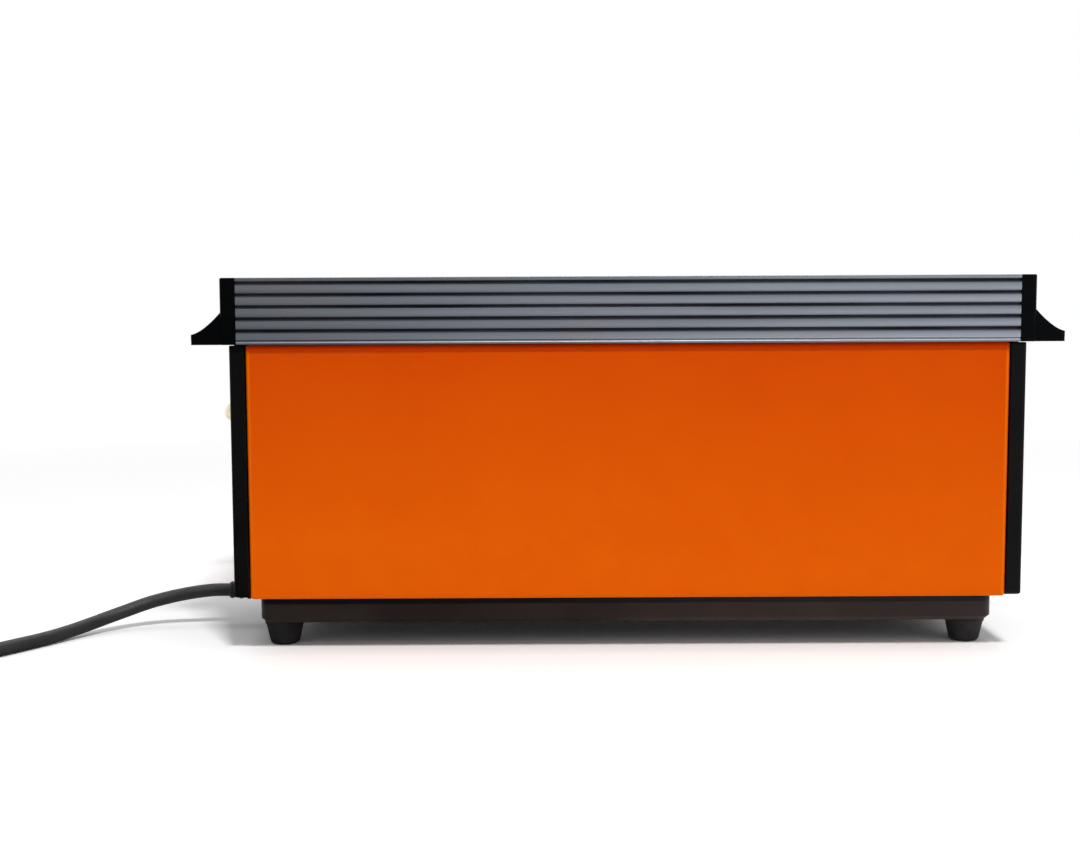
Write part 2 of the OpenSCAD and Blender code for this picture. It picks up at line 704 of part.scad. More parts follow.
module handle(end, side) {
    tongue = 0.15;
    ease = 0.6;
    curve = [for (i = [0:10]) let (u = i / 10)
        [block_out + (tab_len - ease) * u,
         skin_top + tab_tip_h + (tab_root_h - tab_tip_h) * pow(1 - u, 1.5)]];
    tip = [for (q = [1, -1]) for (a = [60, 30, 0])
        [block_out + tab_len - ease + ease * cos(a),
         skin_top + (q > 0 ? tab_tip_h - ease + ease * sin(a) : ease - ease * sin(60 - a))]];
    tab_mid = -(rail_y + rail_in) / 2;
    color([0.1, 0.1, 0.11]) at_end(end) on_side(side) difference() {
        union() {
            intersection() {
                along_y(-rail_y, -rail_in) round_box(block_in - 3, block_out, skin_top, rail_top, 1.2);
                translate([0, 0, skin_top - 1]) linear_extrude(rail_h + 2)
                    round_box(block_in - 3, block_out, -rail_y, -rail_in, 1.5);
                box(block_in, block_out + 1, -rail_y - 1, -rail_in + 1, skin_top, rail_top);
            }
            box(handle_screw_x - 5, block_in + 1, -rail_y + rail_web + tongue, -rail_in - 0.4,
                skin_top + rail_flange + tongue, rail_top - rail_flange - tongue);
            intersection() {
                along_y(tab_mid - tab_w / 2, tab_mid + tab_w / 2)
                    polygon(concat([[block_out - 2, skin_top]],
                        [[block_out - 2, skin_top + tab_root_h]], curve, tip,
                        [[block_out + tab_len - ease, skin_top]]));
                translate([0, 0, skin_top - 1]) linear_extrude(tab_root_h + 2)
                    round_box(block_out - 8, block_out + tab_len, tab_mid - tab_w / 2,
                        tab_mid + tab_w / 2, 2);
            }
        }
        for (z = handle_screw_z)
            translate([handle_screw_x, -rail_in + 1, z]) rotate([90, 0, 0])
                cylinder(h = 9, d = screw_d + 0.1);
    }
}

module door_screws(side) {
    color("silver") on_side(side) for (e = [-1, 1]) at_end(e) for (z = handle_screw_z)
        translate([handle_screw_x, -liner_y, z]) rotate([90, 0, 0]) screw(8);
}

// Supply: terminal block, clamp, inner cord, strain relief and wires

relief_neck_d = 11;
post_low = foot_h + tray_t;
tray_cove = 1.5;

module terminal_block() {
    color([0.85, 0.83, 0.78]) difference() {
        union() {
            box(block_x - block_len / 2, block_x + block_len / 2, -8, 8, post_low, post_low + block_h / 2);
            for (y = [-5, 0, 5])
                box(block_x - block_len / 2 + 2, block_x + block_len / 2 - 2, y - 1.9, y + 1.9,
                    post_low + block_h / 2 - 0.1, post_low + block_h);
        }
        for (x = [-8, 8]) for (y = [-5, 0, 5])
            post(block_x + x, y, post_low + block_h - 3, post_low + block_h + 1, 2.6);
    }
}

module cord_clamp() {
    r = cord_d / 2 + fit;
    color("silver") difference() {
        union() {
            rod_x(clamp_x - 4, clamp_x + 4, 0, cord_exit_z, 2 * r + 2);
            box(clamp_x - 4, clamp_x + 4, -r - 6, r + 6, post_low, post_low + 1);
            box(clamp_x - 4, clamp_x + 4, -r - 1, r + 1, post_low, cord_exit_z);
        }
        rod_x(clamp_x - 5, clamp_x + 5, 0, cord_exit_z, 2 * r);
        box(clamp_x - 5, clamp_x + 5, -r, r, post_low - 1, cord_exit_z - r * 0.4);
        for (y = [-1, 1]) post(clamp_x, y * (r + 3.6), post_low - 1, post_low + 2, screw_hole);
    }
}

// Sleeved wires from the block up to each end of the heater
module supply_wires() {
    z = post_low + wire_level;
    color([0.85, 0.82, 0.75]) for (s = [-1, 1]) {
        y = s * 5;
        x0 = block_x + s * (block_len / 2 - 6);
        x1 = s * wire_x;
        post(x0, y, post_low + block_h, z, wire_d);
        for (p = [[x0, y], [x1, y], [x1, wire_y]]) translate([p[0], p[1], z]) sphere(d = wire_d);
        rod_x(min(x0, x1), max(x0, x1), y, z, wire_d);
        translate([x1, min(y, wire_y), z]) rotate([-90, 0, 0])
            cylinder(h = abs(y - wire_y), d = wire_d);
        post(x1, wire_y, z, wind_low + 1, wire_d);
    }
}

module cord_inner() {
    color([0.08, 0.08, 0.08])
        rod_x(-tray_x + tray_t + 2.2, inner_x, 0, cord_exit_z, cord_d);
}

// Tapered strain relief with five rings; its inner flange has a flat that sits on the tray
module strain_relief() {
    r = relief_neck_d / 2;
    tip = cord_d / 2 + 1.1;
    ring = relief_len / 6;
    color([0.07, 0.07, 0.07]) difference() {
        translate([-tray_x + tray_t + 2, 0, cord_exit_z]) rotate([0, -90, 0])
            rotate_extrude() polygon(concat(
                [[0, 0], [r + 1.5, 0], [r + 1.5, 1.9], [r, 1.9], [r, tray_t + 2.1],
                 [r + 1.2, tray_t + 2.1], [r + 1.2, tray_t + 3.5]],
                [for (i = [0:4]) for (p = [[0, 0.6], [0, 2], [-0.8, 2.2], [-0.8, ring]])
                    [r + (tip - r) * (i + 0.5) / 5 + p[0], tray_t + 3.3 + i * ring + p[1] * 0.9]],
                [[tip, tray_t + 2 + relief_len - 1], [tip - 0.5, tray_t + 2 + relief_len],
                 [0, tray_t + 2 + relief_len]]));
        box(-tray_x + tray_t / 2, -tray_x + tray_t + 3, -r - 2, r + 2, post_low - 3,
            post_low + tray_cove + fit);
    }
}

module lamp_body() {
    r = lens_d / 2 + 1;
    color([0.3, 0.3, 0.3]) translate([-panel_out - 1.4, -lamp_y, lamp_z]) rotate([0, 90, 0])
        rotate_extrude() polygon([[lens_d / 2 + 0.05, 0], [r + 0.8, 0], [r + 1.2, 0.4], [r + 1.2, 1.3],
            [r, 1.3], [r, panel_wall + 7], [r - 2, panel_wall + 9], [0, panel_wall + 9],
            [0, panel_wall + 5], [lens_d / 2 + 0.05, panel_wall + 5]]);
}

module lamp_lens() {
    color([0.95, 0.75, 0.45]) translate([-panel_out - 1.4, -lamp_y, lamp_z]) rotate([0, -90, 0]) {
        translate([0, 0, -6]) cylinder(h = 7.5, d = lens_d - 0.1);
        translate([0, 0, 1.5 - eps]) intersection() {
            translate([0, 0, -1.2]) sphere(r = lens_d / 2 + 0.2);
            cylinder(h = 10, d = lens_d - 0.1);
        }
    }
}

// Free cord: lead, coil, tail, tie and plug

module cord_lead() {
    color([0.06, 0.06, 0.06]) tube(lead_points, cord_d, 10, [0, 0, 1]);
}

module cord_coil() {
    color([0.06, 0.06, 0.06]) tube(coil_points, cord_d, 6, [0, 0, 1]);
}

module cord_tail() {
    color([0.06, 0.06, 0.06]) tube(tail_points, cord_d, 10, [0, 0, 1]);
}

// A strap once round all the turns, on the far side of the coil
module cord_tie() {
    in = coil_r - coil_pitch * (coil_half + 0.2) - cord_d / 2 - tie_gap;
    out = coil_r + cord_d / 2 + tie_gap;
    high = coil_high + cord_d / 2 + tie_gap;
    low = coil_low - cord_d / 2 - tie_gap;
    color([0.12, 0.12, 0.12]) translate([coil_mid[0], coil_mid[1], 0]) rotate([0, 0, 75])
        translate([0, 4, 0]) rotate([90, 0, 0]) linear_extrude(8) difference() {
            round_box(in - tie_t, out + tie_t, low - tie_t, high + tie_t, 2);
            round_box(in, out, low, high, 1.4);
        }
}

module at_plug() {
    translate(tail_points[len(tail_points) - 1]) rotate([0, 0, plug_turn]) children();
}

plug_len = 46;
plug_w = 36;
plug_h = 2 * plug_z;

// Moulded plug: ribbed sleeve, shoulders and a flat front face
module plug_body() {
    color([0.07, 0.07, 0.07]) at_plug() {
        rotate([0, 90, 0]) rotate_extrude() polygon(concat(
            [[0, 0], [cord_d / 2 + 1, 0]],
            [for (i = [0:3]) for (p = [[0, 1], [0, 2.8], [-0.8, 3], [-0.8, 3.8]])
                [cord_d / 2 + 1.6 + i * 0.7 + p[0], i * 4 + p[1]]],
            [[cord_d / 2 + 4.4, 17], [0, 17]]));
        hull() {
            along_x(15, 16) round_box(-8, 8, -7, 7, 4, $fn = hull_fn);
            along_x(23, 24) round_box(-plug_w / 2 + 2, plug_w / 2 - 2, -plug_h / 2 + 1,
                plug_h / 2 - 1, 6, $fn = hull_fn);
            along_x(28, plug_len - 1.5) round_box(-plug_w / 2, plug_w / 2, -plug_h / 2, plug_h / 2,
                6, $fn = hull_fn);
            along_x(plug_len - 1, plug_len) round_box(-plug_w / 2 + 1.2, plug_w / 2 - 1.2,
                -plug_h / 2 + 1.2, plug_h / 2 - 1.2, 5, $fn = hull_fn);
        }
    }
}

// Three flat blades, the earth blade longer
module plug_pins() {
    color([0.8, 0.7, 0.45]) at_plug() {
        for (s = [-1, 1]) translate([plug_len + 8.5, s * 6.9, 3.2]) rotate([s * 30, 0, 0])
            cube([17, 1.6, 6.3], center = true);
        translate([plug_len + 10, 0, -8]) cube([20, 1.6, 6.3], center = true);
    }
}

base_tray();
foot(-1, -1);  // foot_front_left
foot(1, -1);  // foot_front_right
foot(-1, 1);  // foot_rear_left
foot(1, 1);  // foot_rear_right
foot_screws();
floor_plate();
end_plate(-1);  // end_plate_left
end_plate(1);  // end_plate_right
end_panel(-1);  // end_panel_left
end_panel(1);  // end_panel_right
panel_screws();
top_plate();
top_screws();
heater_channel(floor_top, 1);  // heater_channel_bottom
heater_channel(plate_top, -1);  // heater_channel_top
heater_card(0);  // heater_card_left
heater_card(1);  // heater_card_middle
heater_card(2);  // heater_card_right
heater_winding(0);  // heater_winding_left
heater_winding(1);  // heater_winding_middle
heater_winding(2);  // heater_winding_right
heater_links();
guard(-1);  // guard_front
guard(1);  // guard_rear
hinge_rod(-1);  // hinge_rod_front
hinge_rod(1);  // hinge_rod_rear
door_spring(-1, -1);  // door_spring_front_left
door_spring(1, -1);  // door_spring_front_right
door_spring(-1, 1);  // door_spring_rear_left
door_spring(1, 1);  // door_spring_rear_right
door_skin(-1);  // door_skin_front
door_skin(1);  // door_skin_rear
door_liner(-1);  // door_liner_front
door_liner(1);  // door_liner_rear
bread_ledge(-1);  // bread_ledge_front
bread_ledge(1);  // bread_ledge_rear
door_rail(-1);  // door_rail_front
door_rail(1);  // door_rail_rear
handle(-1, -1);  // handle_front_left
handle(1, -1);  // handle_front_right
handle(-1, 1);  // handle_rear_left
handle(1, 1);  // handle_rear_right
door_screws(-1);  // door_screws_front
door_screws(1);  // door_screws_rear
terminal_block();
cord_clamp();
supply_wires();
cord_inner();
strain_relief();
lamp_body();
lamp_lens();
cord_lead();
cord_coil();
cord_tail();
cord_tie();
plug_body();
plug_pins();
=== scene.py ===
"""Looks of the drop side toaster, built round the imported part. Lengths in metres, row frame."""

import math

import bmesh
import bpy
from mathutils import Matrix, Vector


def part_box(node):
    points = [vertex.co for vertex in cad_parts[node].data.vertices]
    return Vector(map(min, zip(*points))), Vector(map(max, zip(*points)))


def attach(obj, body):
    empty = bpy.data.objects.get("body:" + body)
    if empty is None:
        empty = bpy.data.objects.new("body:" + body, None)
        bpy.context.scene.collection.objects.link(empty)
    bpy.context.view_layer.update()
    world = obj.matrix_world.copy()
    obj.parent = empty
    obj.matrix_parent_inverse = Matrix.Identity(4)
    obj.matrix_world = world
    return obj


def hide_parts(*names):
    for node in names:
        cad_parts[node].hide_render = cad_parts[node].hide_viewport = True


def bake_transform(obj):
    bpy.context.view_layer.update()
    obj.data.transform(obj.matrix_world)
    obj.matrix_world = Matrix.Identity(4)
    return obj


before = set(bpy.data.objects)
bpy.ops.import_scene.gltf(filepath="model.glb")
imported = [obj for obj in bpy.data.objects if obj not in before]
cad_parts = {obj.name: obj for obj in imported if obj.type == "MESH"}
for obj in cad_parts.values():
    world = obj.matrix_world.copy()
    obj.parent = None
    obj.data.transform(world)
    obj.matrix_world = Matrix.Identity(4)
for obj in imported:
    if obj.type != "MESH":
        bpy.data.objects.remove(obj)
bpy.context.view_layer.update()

MM = 0.001
PAINTED_SHADE = "painted_shade"  # mesh attribute: how much painted shade a point of a rail gets, 0 to 1
WELD_DIST = 1e-7  # metres within which a new mesh's points are one
ROWS = (("front", -1), ("rear", 1))  # the doors, each with its side of the middle along Y
ENDS = (("left", -1), ("right", 1))  # the toaster's ends, each with its side along X
CORNERS = [(*row, *end) for row in ROWS for end in ENDS]

# ---- Camera: fitted to the corners of the toaster in the photograph ----

IMAGE_WIDTH = 1080  # pixels across the photograph
FOCAL_PIXELS = 1500.0
SENSOR = 36.0  # mm
CLIP = (0.02, 30)
CAMERA_AT = Vector((-41.26, -751.86, 168.27)) * MM
PITCH_DOWN, YAW_RIGHT, ROLL = 0.0889, 0.0012, 0.0046  # radians


def make_camera():
    forward = Vector(
        (
            math.sin(YAW_RIGHT) * math.cos(PITCH_DOWN),
            math.cos(YAW_RIGHT) * math.cos(PITCH_DOWN),
            -math.sin(PITCH_DOWN),
        )
    )
    level_right = Vector((math.cos(YAW_RIGHT), -math.sin(YAW_RIGHT), 0))
    down = forward.cross(level_right)
    right = math.cos(ROLL) * level_right + math.sin(ROLL) * down
    rolled_down = -math.sin(ROLL) * level_right + math.cos(ROLL) * down
    data = bpy.data.cameras.new("camera")
    data.sensor_width = SENSOR
    data.lens = SENSOR * FOCAL_PIXELS / IMAGE_WIDTH
    data.clip_start, data.clip_end = CLIP
    camera = bpy.data.objects.new("camera", data)
    bpy.context.scene.collection.objects.link(camera)
    turn = Matrix((right, -rolled_down, -forward)).transposed()
    camera.matrix_world = Matrix.Translation(CAMERA_AT) @ turn.to_4x4()
    bpy.context.scene.camera = camera


make_camera()

# ---- Building helpers ----

TURN_STEPS = 96  # points round a turned piece


def link(obj, slot_name, body=None):
    """Puts a new piece in the scene, on its body, with its slot and that slot's material."""
    bpy.context.scene.collection.objects.link(obj)
    if body is not None:
        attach(obj, body)
    obj.data.materials.append(MADE[slot_name])


def mesh_object(name, points, faces, sharp_deg=35, heal=False):
    """A smooth shaded mesh from points and faces, with the edges over an angle left sharp."""
    bm = bmesh.new()
    verts = [bm.verts.new(p) for p in points]
    for face in faces:
        bm.faces.new([verts[i] for i in face])
    bmesh.ops.remove_doubles(bm, verts=bm.verts, dist=WELD_DIST)
    if heal:
        bmesh.ops.dissolve_degenerate(bm, edges=bm.edges, dist=WELD_DIST)
    bmesh.ops.recalc_face_normals(bm, faces=bm.faces)
    for f in bm.faces:
        f.smooth = True
    limit = math.radians(sharp_deg)
    for e in bm.edges:
        e.smooth = len(e.link_faces) < 2 or e.calc_face_angle(0) < limit
    mesh = bpy.data.meshes.new(name)
    bm.to_mesh(mesh)
    bm.free()
    return bpy.data.objects.new(name, mesh)


def ring_faces(rings, count):
    """Faces between each two of some rings, which have count points each."""
    faces = []
    for i in range(rings - 1):
        low, high = i * count, (i + 1) * count
        for k in range(count):
            m = (k + 1) % count
            faces.append((low + k, low + m, high + m, high + k))
    return faces


def closed_faces(rings, count):
    """The same, with a face over the first ring and one over the last."""
    last = (rings - 1) * count
    return [*ring_faces(rings, count), list(range(count)), list(range(last, last + count))]


def lathe(name, profile, place, sharp_deg):
    """Turns (radius, height) pairs, from axis to axis, about the height axis, then places it."""
    points = []
    for r, h in profile:
        for k in range(TURN_STEPS):
            a = 2 * math.pi * k / TURN_STEPS
            points.append(place @ Vector((r * math.cos(a), r * math.sin(a), h)))
    faces = ring_faces(len(profile), TURN_STEPS)
    return mesh_object(name, points, faces, sharp_deg, heal=True)


def extrude_x(name, outline, x0, x1, sharp_deg):
    """A closed outline of (y, z) pairs, pulled along X."""
    points = [(x, y, z) for x in (x0, x1) for y, z in outline]
    return mesh_object(name, points, closed_faces(2, len(outline)), sharp_deg)


def smooth_path(points, parts):
    """Points of a curve through the given ones, with parts steps between each two."""
    out = []
    last = len(points) - 1
    for i in range(last):
        p0, p1 = points[max(i - 1, 0)], points[i]
        p2, p3 = points[i + 1], points[min(i + 2, last)]
        for k in range(parts):
            t = k / parts
            out.append(
                0.5
                * (
                    2 * p1
                    + (p2 - p0) * t
                    + (2 * p0 - 5 * p1 + 4 * p2 - p3) * t * t
                    + (3 * p1 - p0 - 3 * p2 + p3) * t * t * t
                )
            )
    out.append(points[last].copy())
    return out


def tube(name, path, radius, sides):
    """A round tube swept along a path, closed at its ends."""
    points = []
    last = len(path) - 1
    side = None
    for i, p in enumerate(path):
        heading = (path[min(i + 1, last)] - path[max(i - 1, 0)]).normalized()
        if side is None:
            side = heading.orthogonal().normalized()
        side = (side - heading * side.dot(heading)).normalized()
        other = heading.cross(side)
        for k in range(sides):
            a = 2 * math.pi * k / sides
            points.append(p + radius * (math.cos(a) * side + math.sin(a) * other))
    return mesh_object(name, points, closed_faces(len(path), sides), sharp_deg=60)


# ---- Node helpers ----

NOISE_RANGE = (0.3, 0.7)


class Nodes:
    """A node tree, whose nodes are added by short calls."""

    def __init__(self, tree):
        self.tree = tree

    def add(self, kind, inputs=None, **settings):
        made = self.tree.nodes.new(kind)
        for key, value in settings.items():
            setattr(made, key, value)
        for key, value in (inputs or {}).items():
            self.put(made.inputs[key], value)
        return made

    def put(self, socket, value):
        if isinstance(value, bpy.types.NodeSocket):
            self.tree.links.new(value, socket)
        else:
            socket.default_value = value

    def remap(self, value, from_min, from_max, to_min=0.0, to_max=1.0):
        return self.add(
            "ShaderNodeMapRange",
            {
                "Value": value,
                "From Min": from_min,
                "From Max": from_max,
                "To Min": to_min,
                "To Max": to_max,
            },
        ).outputs["Result"]

    def math(self, operation, a, b=0.0):
        return self.add("ShaderNodeMath", {0: a, 1: b}, operation=operation).outputs[0]

    def mix(self, share, a, b):
        made = self.add("ShaderNodeMix", data_type="RGBA")
        self.put(made.inputs[0], share)
        for index, value in ((6, a), (7, b)):
            if not isinstance(value, bpy.types.NodeSocket):
                value = (*value[:3], 1)
            self.put(made.inputs[index], value)
        return made.outputs[2]

    def between(self, share, a, b):
        """The number that lies the given share of the way from a to b."""
        return self.add("ShaderNodeMix", {0: share, 2: a, 3: b}, data_type="FLOAT").outputs[0]

    def part(self, vector, axis):
        """One of a vector's X, Y and Z."""
        return self.add("ShaderNodeSeparateXYZ", {"Vector": vector}).outputs[axis]


class Paint(Nodes):
    """A new material, with its shader and its object coordinates."""

    def __init__(self, name):
        self.material = bpy.data.materials.new(name)
        self.material.use_nodes = True
        super().__init__(self.material.node_tree)
        self.shader = self.tree.nodes["Principled BSDF"]
        self.where = self.add("ShaderNodeTexCoord").outputs["Object"]

    def noise(self, scale, detail=4, stretch=None, roughness=0.5):
        vector = self.where
        if stretch is not None:
            moved = self.add("ShaderNodeMapping", {"Vector": self.where, "Scale": stretch})
            vector = moved.outputs["Vector"]
        return self.add(
            "ShaderNodeTexNoise",
            {"Vector": vector, "Scale": scale, "Detail": detail, "Roughness": roughness},
        ).outputs["Fac"]

    def spread(self, noise, to_min=0.0, to_max=1.0):
        """Noise drawn out from the range that it mostly keeps to."""
        return self.remap(noise, *NOISE_RANGE, to_min, to_max)

    def normal(self):
        return self.add("ShaderNodeNewGeometry").outputs["Normal"]

    def upward(self):
        """1 on faces that look up, where dust lies, 0 on the others."""
        return self.remap(self.part(self.normal(), "Z"), 0.55, 0.98)

    def edges(self, radius):
        """1 on edges within radius, 0 on flat faces."""
        soft = self.add("ShaderNodeBevel", {"Radius": radius}, samples=4).outputs["Normal"]
        both = {0: soft, 1: self.normal()}
        dot = self.add("ShaderNodeVectorMath", both, operation="DOT_PRODUCT").outputs["Value"]
        return self.remap(dot, 0.985, 0.80)

    def bump(self, height, distance, strength=1.0, under=None):
        inputs = {"Height": height, "Distance": distance, "Strength": strength}
        if under is not None:
            inputs["Normal"] = under
        return self.add("ShaderNodeBump", inputs).outputs["Normal"]

    def set(self, **sockets):
        for key, value in sockets.items():
            self.put(self.shader.inputs[key.replace("_", " ")], value)
        return self.material


DUST = (0.42, 0.40, 0.37)


def finish(
    name,
    colour,
    second,
    rough,
    patch=40,
    grain=900,
    depth=0.02,
    stretch=None,
    metal=0.0,
    specular=0.5,
    coat=0.0,
    dust=0.0,
    edge=None,
    edge_width=0.5,
    band=None,
    scuffs_and_sheen=None,
):
    """The common recipe: two tones in soft patches, uneven gloss, grain, dust and worn edges.

    Depth and edge_width are in mm. A band is (lowest, highest, colour): from lowest to highest,
    in mm, the surface turns to that colour. The scuff colour, when given, is a lighter streaky
    film on broad faces towards the ends: partly scuffs, partly painted sheen that stands in for
    the reflections those faces would show."""
    p = Paint(name)
    patches = p.remap(p.noise(patch, 5), 0.34, 0.66)
    base = p.mix(patches, colour, second)
    gloss = p.spread(p.noise(patch * 2.7, 5, stretch), rough[0], rough[1])
    if band is not None:
        lowest, highest, above = band
        share = p.remap(p.part(p.where, "Z"), lowest * MM, highest * MM)
        base = p.mix(share, base, above)
    if scuffs_and_sheen is not None:
        # scuffs and painted sheen: a lighter streaky film on faces towards the ends, in place of
        # their reflections
        endwise = p.remap(p.math("ABSOLUTE", p.part(p.normal(), "X")), 0.6, 0.97)
        cloudy = p.remap(p.noise(22, 8, None, 0.62), 0.38, 0.66, 0.25, 1.0)
        streaky = p.remap(p.noise(260, 5, (1, 0.12, 1)), 0.35, 0.7, 0.55, 1.0)
        sheen_film = p.math("MULTIPLY", p.math("MULTIPLY", cloudy, streaky), endwise)
        base = p.mix(sheen_film, base, scuffs_and_sheen)
        gloss = p.math("ADD", gloss, p.math("MULTIPLY", sheen_film, 0.12))
    if edge is not None:
        rubbed = p.remap(p.noise(170, 6), 0.42, 0.62)
        worn = p.math("MULTIPLY", p.edges(edge_width * MM), rubbed)
        base = p.mix(worn, base, edge)
    if dust > 0:
        specks = p.remap(p.noise(420, 8), 0.35, 0.75, 0.3 * dust, dust)
        lying = p.math("MULTIPLY", p.upward(), specks)
        base = p.mix(lying, base, DUST)
        gloss = p.math("ADD", gloss, p.math("MULTIPLY", lying, 0.4))
    grains = p.noise(grain, 4, stretch)
    waves = p.noise(patch * 0.6, 2)
    normal = p.bump(grains, depth * MM, 0.6, p.bump(waves, depth * 3 * MM, 0.25))
    return p.set(
        Base_Color=base,
        Roughness=gloss,
        Metallic=metal,
        Specular_IOR_Level=specular,
        Coat_Weight=coat,
        Coat_Roughness=0.12,
        Normal=normal,
    )


# ---- Materials, one for each slot of the record ----

SHADE_LINE = 0.1412  # metres up the door: above it, close under the rail, the enamel is redder, a painted shadow of the rail
TRAY_BAND = (20.9, 21.5, (0.003, 0.004, 0.007))  # the tray's shaded top under the doors


def orange_enamel():
    """Gloss stove enamel, rubbed, with painted light: painted shade darker up towards the rail
    and lighter lower down, a painted highlight on the folds and a painted shadow band close under
    the rail.
    """
    p = Paint("orange_enamel")
    height = p.part(p.where, "Z")
    # painted light: the tone darkens up towards the rail and lightens lower down, as painted
    # shade and painted bounce light from the floor
    drift = p.math("ADD", height, p.spread(p.noise(9, 3), -0.012, 0.012))
    tone = p.mix(p.remap(drift, 0.045, 0.150), (0.86, 0.128, 0.0003), (0.67, 0.064, 0.0002))
    mottled = p.mix(p.spread(p.noise(60, 6), 0.0, 0.3), tone, (0.76, 0.090, 0.0003))
    # painted highlight on the rounded folds: lighter orange where the face turns away from Y,
    # below the rail's shade
    across = p.math("ABSOLUTE", p.part(p.normal(), "Y"))
    below = p.remap(height, SHADE_LINE + 0.5 * MM, SHADE_LINE)
    fold_highlight = p.math("MULTIPLY", p.remap(across, 0.995, 0.93, 0.0, 0.9), below)
    painted_light = p.mix(fold_highlight, mottled, (1.0, 0.165, 0.0005))
    # painted shadow band: redder enamel above SHADE_LINE, close under the rail
    painted_light = p.mix(below, (0.88, 0.060, 0.0002), painted_light)
    chips = p.math("MULTIPLY", p.edges(0.5 * MM), p.remap(p.noise(220, 7), 0.58, 0.66))
    base = p.mix(chips, painted_light, (0.42, 0.16, 0.06))
    gloss = p.spread(p.noise(34, 6), 0.26, 0.36)
    peel = p.bump(p.noise(520, 2), 0.012 * MM, 0.7)
    rubs = p.bump(p.noise(700, 3, (0.05, 1, 1)), 0.004 * MM, 0.5, peel)
    return p.set(Base_Color=base, Roughness=gloss, Specular_IOR_Level=0.035, Normal=rubs)


def reeded_aluminium():
    """Drawn and anodised section: lines along its length, with painted shade in its grooves, on
    its lip and along its top.
    """
    p = Paint("reeded_aluminium")
    lines = p.noise(1, 6, (6, 2600, 2600), 0.6)
    broad = p.noise(1, 3, (5, 60, 160))
    tone = p.mix(p.spread(broad), (0.34, 0.38, 0.445), (0.45, 0.49, 0.56))
    drawn = p.mix(p.spread(lines, 0, 0.3), tone, (0.29, 0.31, 0.35))
    stain = p.remap(p.noise(1, 2, (9, 30, 30)), 0.50, 0.68, 0, 0.45)
    warm = p.mix(stain, drawn, (0.47, 0.41, 0.44))
    painted_shade = p.add("ShaderNodeAttribute", attribute_name=PAINTED_SHADE).outputs["Fac"]
    shade_share = p.math("MULTIPLY", painted_shade, p.spread(p.noise(1, 3, (14, 90, 90)), 0.88, 1.0))
    # painted shade: near black in the grooves, on the lip and along the top
    base = p.mix(shade_share, warm, (0.008, 0.010, 0.015))
    gloss = p.math("ADD", p.spread(lines, 0.26, 0.38), p.math("MULTIPLY", shade_share, 0.3))
    normal = p.bump(lines, 0.012 * MM, 0.4, p.bump(p.noise(25, 2), 0.03 * MM, 0.3))
    return p.set(Base_Color=base, Roughness=gloss, Metallic=1.0, Normal=normal)


def mica():
    """Pressed mica: pale flakes in a brownish binder."""
    p = Paint("mica")
    cells = p.add("ShaderNodeTexVoronoi", {"Vector": p.where, "Scale": 320.0})
    flakes = cells.outputs["Distance"]
    tone = p.mix(p.spread(p.noise(45, 6)), (0.52, 0.46, 0.34), (0.36, 0.30, 0.20))
    base = p.mix(p.remap(flakes, 0.1, 0.6, 0, 0.4), tone, (0.66, 0.62, 0.52))
    return p.set(
        Base_Color=base,
        Roughness=p.remap(flakes, 0, 0.6, 0.25, 0.55),
        Coat_Weight=0.4,
        Normal=p.bump(flakes, 0.05 * MM, 0.6),
    )


def amber_lens():
    """The pilot lamp's lens: pale, slightly clear plastic, with a faint painted glow that stands
    for the white light it catches.
    """
    p = Paint("amber_lens")
    tone = p.mix(p.spread(p.noise(300, 3)), (1.0, 0.93, 0.80), (0.97, 0.87, 0.69))
    return p.set(
        Base_Color=tone,
        Roughness=p.spread(p.noise(500, 3), 0.10, 0.22),
        Transmission_Weight=0.2,
        # painted glow: emission in the lens's own tone, for the light it catches
        Emission_Color=tone,
        Emission_Strength=0.25,
        Normal=p.bump(p.noise(260, 2), 0.02 * MM, 0.5),
    )


